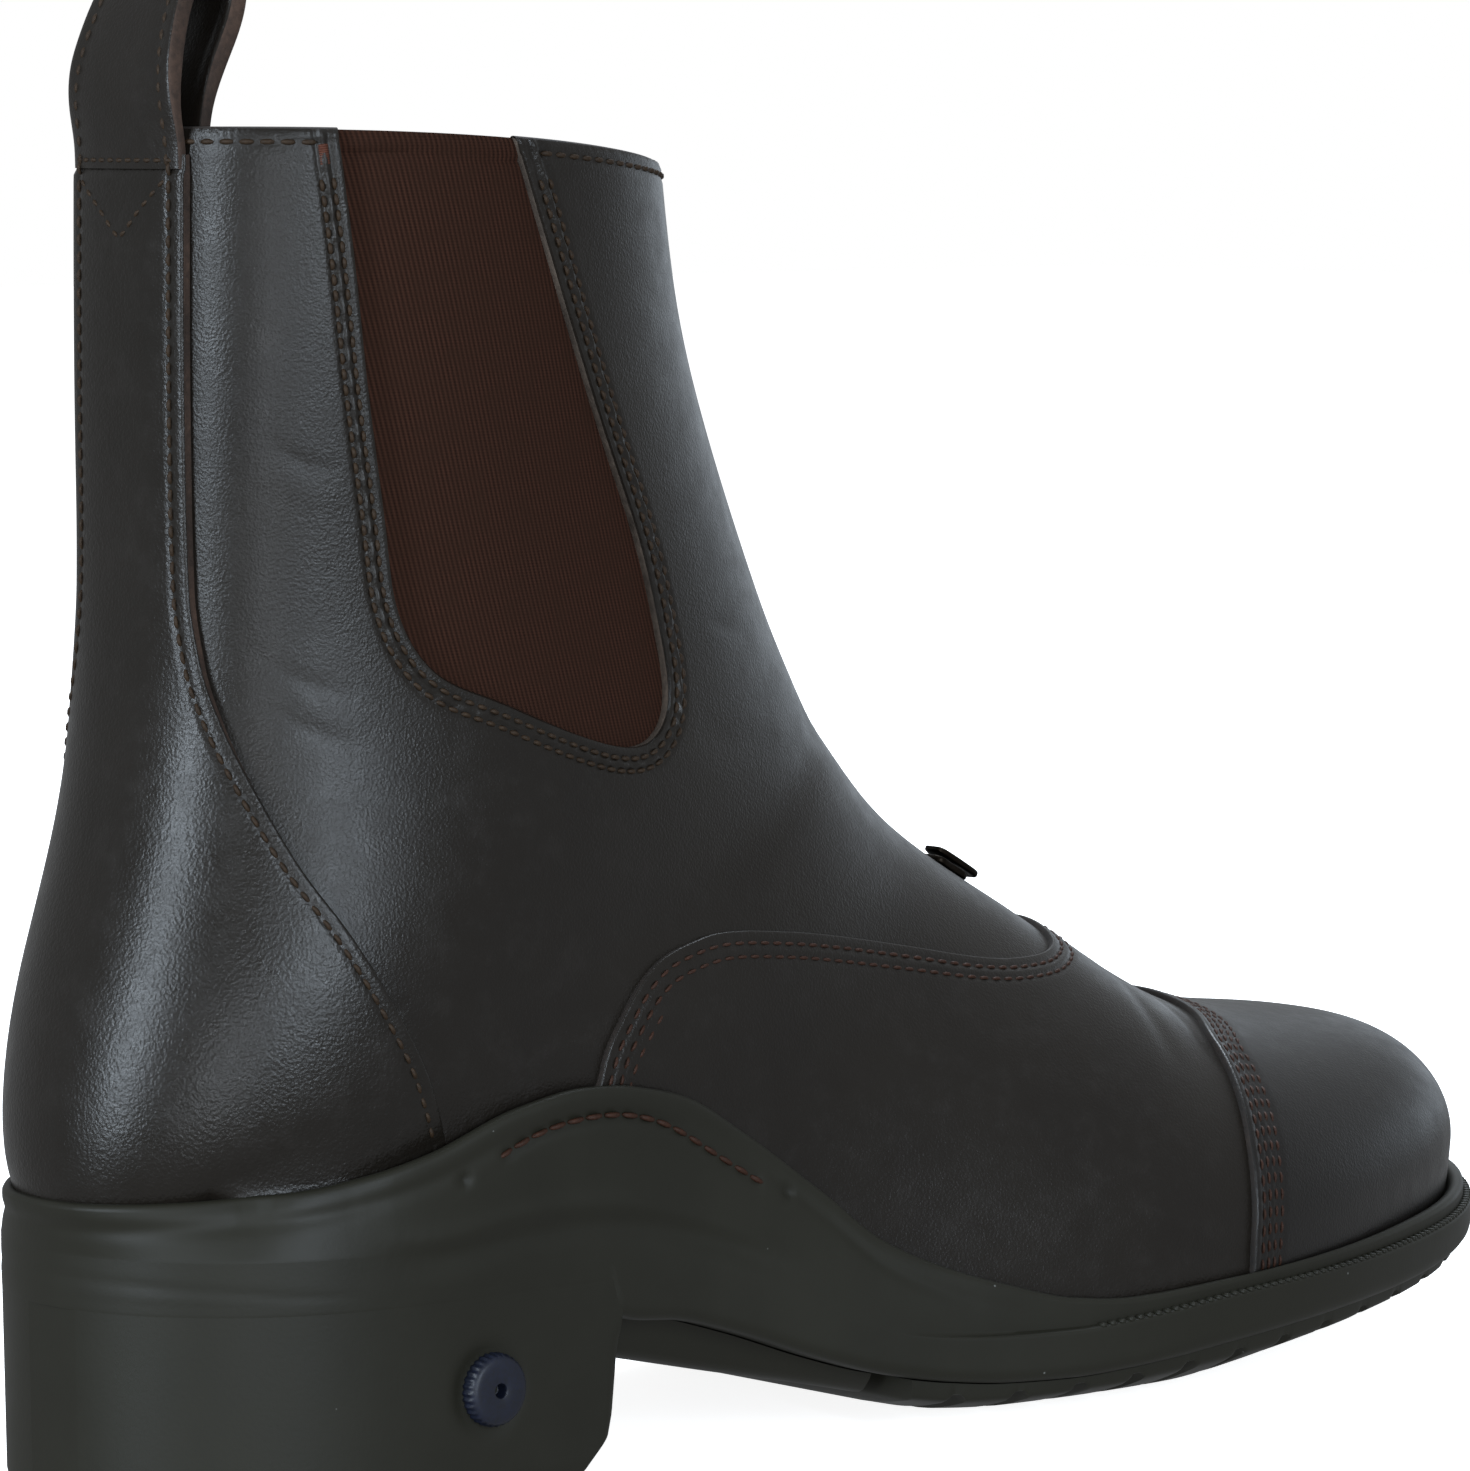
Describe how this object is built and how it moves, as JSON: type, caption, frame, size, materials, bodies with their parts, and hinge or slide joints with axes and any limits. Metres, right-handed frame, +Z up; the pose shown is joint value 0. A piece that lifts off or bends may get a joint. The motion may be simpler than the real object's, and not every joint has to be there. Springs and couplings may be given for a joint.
{
  "type": "jodhpur boot",
  "caption": "Ankle-high riding boot for the right foot with a front zip, elastic side gussets, toe cap, back strap, pull loop and a moulded rubber sole with a block heel.",
  "frame": {"origin": "on the floor under the middle of the boot's box", "axes": "+X towards the toe, +Y towards the wearer's left, which is the inner side of this boot, +Z up"},
  "size_m": [0.2872, 0.1014, 0.2184],
  "materials": {
    "leather": "smooth dark brown grain leather, lightly waxed",
    "rubber": "moulded dark rubber, matt",
    "elastic": "ribbed elastic webbing",
    "zip_tape": "woven tape",
    "zip_metal": "dark plated metal",
    "plug": "moulded navy plastic",
    "insole": "plain leather-covered insole"
  },
  "bodies": {
    "boot": {"sole_unit": "rubber", "heel": "rubber", "forefoot_tread": "rubber", "waist_plate": "rubber", "heel_plug": "plug", "insole": "insole", "upper": "leather", "gusset_lateral": "elastic", "gusset_medial": "elastic", "counter": "leather", "pull_loop": "leather", "zip_tape_lateral": "zip_tape", "zip_tape_medial": "zip_tape", "zip_teeth_lateral": "zip_metal", "zip_teeth_medial": "zip_metal", "zip_slider": "zip_metal"},
    "zip_pull": {"zip_pull": "zip_metal"}
  },
  "joints": [
    {"name": "zip_pull_hinge", "type": "hinge", "parent": "boot", "child": "zip_pull", "pos_m": [0.02969, -0.00108, 0.0814], "axis": [0, -1, 0], "range_deg": [0, 150]}
  ]
}
